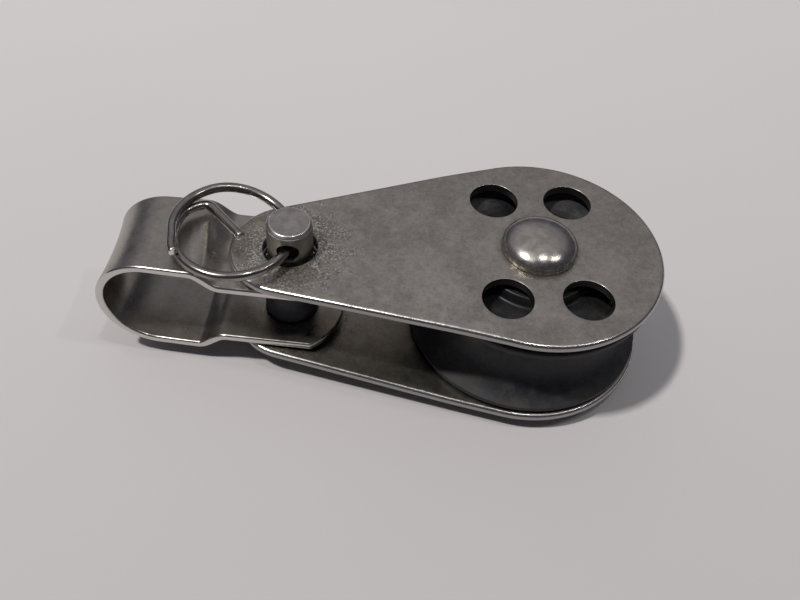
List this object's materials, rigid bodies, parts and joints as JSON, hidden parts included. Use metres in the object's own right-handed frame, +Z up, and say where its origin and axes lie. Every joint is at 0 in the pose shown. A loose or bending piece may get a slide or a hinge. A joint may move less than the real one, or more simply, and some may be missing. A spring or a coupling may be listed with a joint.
{
  "type": "single sheave block",
  "caption": "Pulley block with a grooved sheave between pear-shaped plates, a swinging looped strap, a clevis pin and a split retaining ring.",
  "frame": {"origin": "centre of the flat on the lower head of the axle rivet, on the plane that the block lies on", "axes": "+Z up along the sheave's axle; +X from the clevis pin towards the sheave; +Y completes a right-handed frame, across the cheeks"},
  "size_m": [0.0625, 0.0278, 0.0181],
  "materials": {
    "stainless_plate": "tumbled satin with polished rounded edges",
    "strap_steel": "smooth satin",
    "polished_steel": "polished",
    "bush_steel": "turned",
    "pin_steel": "machined, worn",
    "ring_wire": "drawn wire",
    "sheave_nylon": "moulded, smooth",
    "spacer_nylon": "moulded, smooth"
  },
  "bodies": {
    "cheeks": {"upper_cheek": "stainless_plate", "lower_cheek": "stainless_plate", "axle_rivet": "polished_steel", "axle_bush": "bush_steel"},
    "sheave": {"sheave": "sheave_nylon"},
    "strap": {"strap": "strap_steel"},
    "pin": {"clevis_pin": "pin_steel"},
    "spacer": {"pin_spacer": "spacer_nylon"},
    "ring": {"cotter_ring": "ring_wire"}
  },
  "joints": [
    {"name": "sheave_spin", "type": "hinge", "parent": "cheeks", "child": "sheave", "pos_m": [0, 0, 0.00835], "axis": [0, 0, 1], "continuous": true},
    {"name": "strap_swing", "type": "hinge", "parent": "cheeks", "child": "strap", "pos_m": [-0.0273, 0, 0.00835], "axis": [0, 0, 1], "range_deg": [-68.5, 81.5]},
    {"name": "pin_turn", "type": "hinge", "parent": "cheeks", "child": "pin", "pos_m": [-0.0273, 0, 0.00835], "axis": [0, 0, 1], "continuous": true},
    {"name": "spacer_turn", "type": "hinge", "parent": "pin", "child": "spacer", "pos_m": [-0.0273, 0, 0.00835], "axis": [0, 0, 1], "continuous": true},
    {"name": "ring_flip", "type": "hinge", "parent": "pin", "child": "ring", "pos_m": [-0.0273, 0, 0.0158], "axis": [0.0523, 0.9986, 0], "range_deg": [0, 170]}
  ]
}
